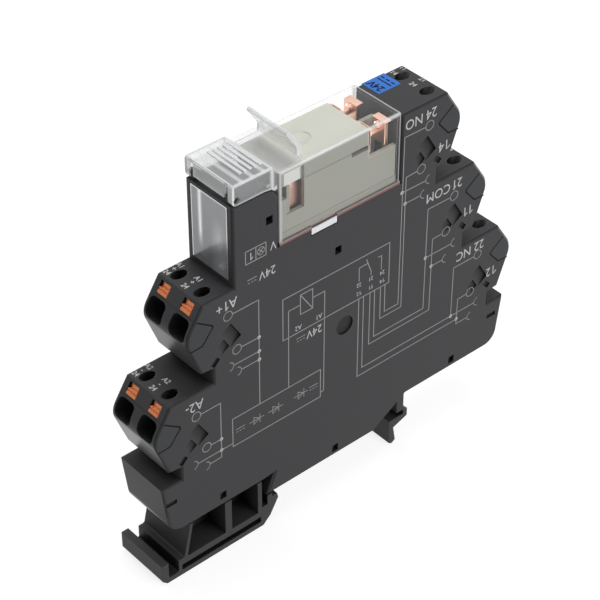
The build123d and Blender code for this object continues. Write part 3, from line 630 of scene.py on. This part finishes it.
def copied(first, x, z, size_x, size_z, turn=0.0):
    """Copy of a first piece with its own mesh, sized, turned and placed on the near side."""
    piece = first.copy()
    piece.data = first.data.copy()
    bpy.context.scene.collection.objects.link(piece)
    place = Matrix.Translation((x * MM, NEAR_Y * MM, z * MM)) @ Matrix.Rotation(-turn, 4, "Y")
    piece.data.transform(place @ Matrix.Diagonal((size_x * MM, 1, size_z * MM, 1)))
    return piece


def bar(x0, z0, x1, z1, width):
    """Straight stroke with square ends half its width past its two places."""
    length = hypot(x1 - x0, z1 - z0) + width
    turn = atan2(z1 - z0, x1 - x0)
    return copied(one_bar, (x0 + x1) / 2, (z0 + z1) / 2, length, width, turn)


def line(points, width=LINE_W):
    """Strokes from place to place."""
    return [bar(*a, *b, width) for a, b in zip(points, points[1:])]


def arc(x, z, r, start, end, steps):
    """Strokes round a centre, from one angle in degrees to another."""
    corners = [start + (end - start) * i / steps for i in range(steps + 1)]
    return line([(x + r * cos(radians(a)), z + r * sin(radians(a))) for a in corners])


def fork(x, z, way):
    """Clamp symbol: an arc with its back on the end of its line."""
    r, half_angle = 0.95, 80
    middle = 90 + 90 * way
    return arc(x + way * r, z, r, middle - half_angle, middle + half_angle, 8)


def diode(x, z):
    """Diode symbol: lead, triangle and bar."""
    lead, half_length, half_height = 1.7, 0.7, 0.85
    bar_x, half_bar = x + 0.75, 0.95
    back_top, back_foot = (x - half_length, z + half_height), (x - half_length, z - half_height)
    marks = line([(x - lead, z), (x + lead, z)], THIN_LINE_W)
    marks += line([back_top, back_foot, (x + half_length, z), back_top], THIN_LINE_W)
    return marks + line([(bar_x, z + half_bar), (bar_x, z - half_bar)], THIN_LINE_W)


def direct_current_mark(x, z):
    """Direct current mark: a whole line over a broken one."""
    half_length, half_gap = 1.0, 0.35
    marks = line([(x - half_length, z + half_gap), (x + half_length, z + half_gap)], THIN_LINE_W)
    for i in range(3):
        start = x - 0.9 + 0.75 * i
        marks += line([(start, z - half_gap), (start + 0.3, z - half_gap)], THIN_LINE_W)
    return marks


def text_width(text, height):
    """Width of a printed word before it is narrowed."""
    clear_selection()
    bpy.ops.object.text_add()
    piece = bpy.context.object
    piece.data.body = text
    piece.data.size = height * FONT_SIZE_PER_HEIGHT * MM
    bpy.context.view_layer.update()
    width = piece.dimensions.x / MM
    bpy.data.objects.remove(piece, do_unlink=True)
    return width


def flags(text, x, z, height):
    """Slanting strokes at the heads of a near side word's ones."""
    marks = []
    for i, letter in enumerate(text):
        if letter == "1":
            letter_end = text_width(text[: i + 1], height) - text_width(text, height) / 2
            head_x = x - (NARROWED * letter_end - 0.08 * height)
            head_z = z - 0.47 * height
            marks.append(bar(head_x, head_z, head_x + 0.24 * height, head_z + 0.2 * height, 0.1 * height))
    return marks


def word(text, x, z, height, turn=180.0, normal="near", y=NEAR_Y, weight=0.0):
    """Printed characters, centred on a place of the near side or of a step's top."""
    clear_selection()
    bpy.ops.object.text_add()
    piece = bpy.context.object
    piece.data.body = text
    piece.data.size = height * FONT_SIZE_PER_HEIGHT * MM
    piece.data.align_x = "CENTER"
    piece.data.align_y = "CENTER"
    piece.data.extrude = PRINT_T / 2 * MM
    piece.data.offset = weight * MM
    piece.data.resolution_u = 3
    bpy.ops.object.convert(target="MESH")
    piece = bpy.context.object
    piece.scale = (NARROWED, 1, 1)
    if normal == "near":
        piece.rotation_euler = (radians(90), radians(turn), 0)
        piece.location = (x * MM, (y - PRINT_T / 2) * MM, z * MM)
    else:
        piece.rotation_euler = (0, 0, radians(turn))
        piece.location = (x * MM, y * MM, (z + PRINT_T / 2) * MM)
    return settle(piece)


one_bar = first_bar()
one_dot = first_dot()

# Marks beside the test holes of each head: the far terminal's word, the near one's, and how far
# in from the nose they stand
TOP_MARKS = [
    (HEAD_A2, [("A2", "A2", 7.9), ("-", "-", 6.5), ("24", "24", 4.9)]),
    (HEAD_A1, [("A1", "A1", 7.9), ("+", "+", 6.5), ("24", "24", 4.9)]),
    (HEAD_NO, [("14", "24", 6.6), ("11", "21", 4.2)]),
    (HEAD_COM, [("11", "21", 6.6), ("14", "24", 4.2)]),
    (HEAD_NC, [("12", "22", 6.6), ("11", "21", 4.2)]),
]
TOP_MARK_HEIGHT = 1.15
FAR_MARK_Y, NEAR_MARK_Y = 5.15, 0.0


def top_marks():
    """The marks beside all test holes."""
    marks = []
    for (side, nose, top), rows in TOP_MARKS:
        for far_word, near_word, inward in rows:
            x = side * (nose - inward)
            for text, y in ((far_word, FAR_MARK_Y), (near_word, NEAR_MARK_Y)):
                marks.append(word(text, x, top, TOP_MARK_HEIGHT, turn=-90, normal="top", y=y, weight=0.03))
    return marks


def flat_bar(x0, y0, x1, y1, z, width):
    """Printed stroke lying on a top."""
    piece = copied(one_bar, 0, 0, hypot(x1 - x0, y1 - y0), width)
    piece.data.transform(Matrix.Translation((0, -NEAR_Y * MM, 0)))
    turn = Matrix.Rotation(atan2(y1 - y0, x1 - x0), 4, "Z") @ Matrix.Rotation(radians(-90), 4, "X")
    piece.data.transform(Matrix.Translation(((x0 + x1) / 2 * MM, (y0 + y1) / 2 * MM, z * MM)) @ turn)
    return piece


def tag_marks():
    """The tag's 24V and its direct current mark, which lie across the tag."""
    top = HIGH_TOP
    word_x, whole_line_x, broken_line_x = 16.6, 18.6, 19.5
    line_start, line_end, dash = 2.2, 5.8, 0.9
    marks = [word("24V", word_x, top, 1.75, turn=90, normal="top", y=4.0, weight=0.06)]
    marks.append(flat_bar(whole_line_x, line_start, whole_line_x, line_end, top, 0.32))
    for i in range(3):
        y = line_start + 1.35 * i
        marks.append(flat_bar(broken_line_x, y, broken_line_x, y + dash, top, 0.34))
    return marks


# The relay: how far its two poles stand from the middle, and the height of its lid's upper face
POLE_Y = 3.75
RELAY_LID_Z = 72.8


def bent_sheet(name, x, y, half_width, low, high, fold, thickness):
    """A sheet metal blade standing across the relay, with its top edge folded to +X."""
    edge_round = 0.3 * thickness
    clear_selection()
    bpy.ops.mesh.primitive_plane_add(size=1, location=((x + fold / 2) * MM, y * MM, high * MM))
    sheet = bpy.context.object
    sheet.scale = (fold * MM, 2 * half_width * MM, 1)
    settle(sheet)
    bpy.ops.object.mode_set(mode="EDIT")
    bpy.ops.mesh.select_mode(type="EDGE")
    bpy.ops.mesh.select_all(action="DESELECT")
    bpy.ops.object.mode_set(mode="OBJECT")
    for edge in sheet.data.edges:
        ends = [sheet.data.vertices[i].co.x for i in edge.vertices]
        edge.select = max(ends) < (x + 0.01) * MM
    bpy.ops.object.mode_set(mode="EDIT")
    bpy.ops.mesh.extrude_edges_move(TRANSFORM_OT_translate={"value": (0, 0, (low - high) * MM)})
    turn_faces_outwards()
    wall = sheet.modifiers.new("wall", "SOLIDIFY")
    wall.thickness = thickness * MM
    wall.offset = 0
    bpy.ops.object.modifier_apply(modifier="wall")
    soft = sheet.modifiers.new("soft", "BEVEL")
    soft.width = edge_round * MM
    soft.segments = 2
    bpy.ops.object.modifier_apply(modifier="soft")
    sheet.name = name
    return sheet


def rivet(x0, x1, y, z, r):
    """Contact rivet from x0 to its rounded face at x1."""
    straight, face_share = 0.6, 0.6
    foot = (x0 * MM, y * MM, z * MM)
    clear_selection()
    bpy.ops.mesh.primitive_circle_add(
        vertices=24, radius=r * MM, fill_type="NGON", location=foot, rotation=(0, radians(90), 0)
    )
    piece = settle(bpy.context.object)
    bpy.ops.object.mode_set(mode="EDIT")
    bpy.ops.mesh.select_all(action="SELECT")
    for share in (straight, 1 - straight):
        step = (x1 - x0) * share * MM
        bpy.ops.mesh.extrude_region_move(TRANSFORM_OT_translate={"value": (step, 0, 0)})
    face_centre = (x1 * MM, y * MM, z * MM)
    bpy.ops.transform.resize(value=(1, face_share, face_share), center_override=face_centre)
    turn_faces_outwards()
    return piece


def contact_blades():
    """Wide copper blades and their rivets, on the moving springs and on the fixed contacts."""
    foot_z = 67.6
    for pole, y in ((1, -POLE_Y), (2, POLE_Y)):
        moving, fixed = f"spring_blade_{pole}", f"fixed_blade_{pole}"
        blade = bent_sheet(moving, 6.5, y, half_width=1.75, low=foot_z, high=72.35, fold=0.5, thickness=0.16)
        # The moving rivet is small enough to pass above the fixed contact at full travel
        face = rivet(x0=6.56, x1=7.0, y=y, z=71.62, r=0.55)
        finish_piece(join([blade, face], moving), paints["contact_brass"], f"moving_spring_{pole}")
        blade = bent_sheet(fixed, 10.1, y, half_width=1.7, low=foot_z, high=72.2, fold=1.5, thickness=0.3)
        face = rivet(x0=10.0, x1=9.3, y=y, z=71.2, r=0.8)
        finish_piece(join([blade, face], fixed), paints["contact_brass"], "relay")


def lid_ring():
    """Raised round mark moulded on the relay's lid."""
    inner_r, widening, raised = 1.55, 1.22, 0.14
    centre = (-4.5 * MM, 0.35 * MM, RELAY_LID_Z * MM)
    clear_selection()
    bpy.ops.mesh.primitive_circle_add(vertices=40, radius=inner_r * MM, location=centre)
    ring = settle(bpy.context.object)
    ring.name = "lid_ring"
    bpy.ops.object.mode_set(mode="EDIT")
    bpy.ops.mesh.select_all(action="SELECT")
    bpy.ops.mesh.extrude_edges_move()
    bpy.ops.transform.resize(value=(widening, widening, 1), center_override=centre)
    bpy.ops.mesh.select_all(action="SELECT")
    bpy.ops.mesh.extrude_region_move(TRANSFORM_OT_translate={"value": (0, 0, raised * MM)})
    turn_faces_outwards()
    finish_piece(ring, paints["card_white"], "relay")


def seam_lines():
    """Dark joints round the terminal inserts."""
    marks = []
    for side, nose, top in HEADS:
        marks += line([(side * (nose - inward), top + up) for inward, up in SEAM], SEAM_W)
    return marks


def circuit():
    """The circuit diagram's lines and symbols, without its joints and words."""
    marks = []
    for points in ROUTES:
        marks += line(points)
    for x, z, r in RINGS:
        marks += arc(x, z, r, 0, 360, 16)
    for place in FORKS:
        marks += fork(*place)
    for place in DIODES:
        marks += diode(*place)
    for place in DC_MARKS:
        marks += direct_current_mark(*place)
    return marks


def joints_and_words():
    """The diagram's joints, and the words of the near side."""
    marks = [copied(one_dot, x, z, DOT_R, DOT_R) for x, z in DOTS]
    for text, x, z, height in WORDS:
        marks.append(word(text, x, z, height))
        marks += flags(text, x, z, height)
    return marks


def print_marks():
    """Seams and print: all ride on the housing."""
    finish_piece(join(seam_lines(), "seam_lines"), seam_black, "housing")
    finish_piece(join(circuit(), "circuit_print"), print_grey, "housing")
    finish_piece(join(joints_and_words(), "terminal_numbers"), print_white, "housing")
    finish_piece(join(top_marks(), "test_hole_marks"), print_white, "housing")
    finish_piece(join(tag_marks(), "tag_print"), print_dark, "housing")
    for first in (one_bar, one_dot):
        bpy.data.objects.remove(first, do_unlink=True)


# The object
aim_camera()
dress_nodes()
print_marks()
lid_ring()
contact_blades()


# Studio, in metres: where each lamp stands, how wide it is and its power in watts
LAMPS = {
    "near_lamp": ((0.12, -0.6, 0.25), 0.35, 2.6),
    "top_lamp": ((0.05, 0.1, 0.65), 0.35, 1.4),
    "left_lamp": ((-0.5, -0.1, 0.3), 0.3, 0.35),
    "back_lamp": ((0.0, 0.6, 0.1), 0.35, 2.0),
    "output_lamp": ((0.6, 0.05, 0.1), 0.35, 1.4),
}
LAMPS_AIM = (0, 0, 0.035)
FLOOR_Z = -0.0076
FLOOR_SIZE = 30
WORLD_LIGHT = 0.16


def soft_lamp(name, place, size, power):
    """Square lamp that faces the middle of the object."""
    data = bpy.data.lights.new(name, "AREA")
    data.shape = "SQUARE"
    data.size = size
    data.energy = power
    lamp = bpy.data.objects.new(name, data)
    bpy.context.scene.collection.objects.link(lamp)
    lamp.location = place
    lamp.rotation_euler = (Vector(LAMPS_AIM) - Vector(place)).to_track_quat("-Z", "Y").to_euler()


def seen_rays(nodes, links):
    """1 for the rays that should find a white backdrop: camera, glossy and transmission rays."""
    path = nodes.new("ShaderNodeLightPath")
    total = path.outputs["Is Camera Ray"]
    for label in ("Is Glossy Ray", "Is Transmission Ray"):
        step = nodes.new("ShaderNodeMath")
        step.operation = "MAXIMUM"
        links.new(total, step.inputs[0])
        links.new(path.outputs[label], step.inputs[1])
        total = step.outputs[0]
    return total


def seen_or_not(nodes, links, seen, unseen, out):
    """Show one shader to the rays that see the backdrop, and the other to the rest."""
    both = nodes.new("ShaderNodeMixShader")
    links.new(seen_rays(nodes, links), both.inputs[0])
    links.new(unseen.outputs[0], both.inputs[1])
    links.new(seen.outputs[0], both.inputs[2])
    links.new(both.outputs[0], out.inputs["Surface"])


def white_floor():
    """Floor that is white where it is seen, and dull where light bounces off it."""
    clear_selection()
    bpy.ops.mesh.primitive_plane_add(size=FLOOR_SIZE, location=(0, 0, FLOOR_Z))
    floor = settle(bpy.context.object)
    floor.name = "floor"
    surface = bpy.data.materials.new("white_floor")
    surface.use_nodes = True
    nodes, links = surface.node_tree.nodes, surface.node_tree.links
    pale = next(n for n in nodes if n.type == "BSDF_PRINCIPLED")
    out = next(n for n in nodes if n.type == "OUTPUT_MATERIAL")
    pale.inputs["Base Color"].default_value = (0.35, 0.35, 0.35, 1)
    pale.inputs["Roughness"].default_value = 0.9
    pale.inputs["Specular IOR Level"].default_value = 0.0
    pale.inputs["Emission Color"].default_value = (1, 1, 1, 1)
    pale.inputs["Emission Strength"].default_value = 0.8
    dull = nodes.new("ShaderNodeBsdfDiffuse")
    dull.inputs["Color"].default_value = (0.3, 0.3, 0.3, 1)
    seen_or_not(nodes, links, pale, dull, out)
    floor.data.materials.append(surface)


def white_world():
    """World that is white where it is seen, and lights the object faintly."""
    world = bpy.data.worlds.new("white_world")
    bpy.context.scene.world = world
    world.use_nodes = True
    nodes, links = world.node_tree.nodes, world.node_tree.links
    nodes.clear()
    out = nodes.new("ShaderNodeOutputWorld")
    seen = nodes.new("ShaderNodeBackground")
    lit = nodes.new("ShaderNodeBackground")
    for light, strength in ((seen, 1.0), (lit, WORLD_LIGHT)):
        light.inputs["Color"].default_value = (1, 1, 1, 1)
        light.inputs["Strength"].default_value = strength
    seen_or_not(nodes, links, seen, lit, out)


def studio():
    """White surroundings with soft lamps."""
    white_floor()
    white_world()
    for name, (place, size, power) in LAMPS.items():
        soft_lamp(name, place, size, power)
    bpy.context.scene.view_settings.view_transform = "Standard"


studio()
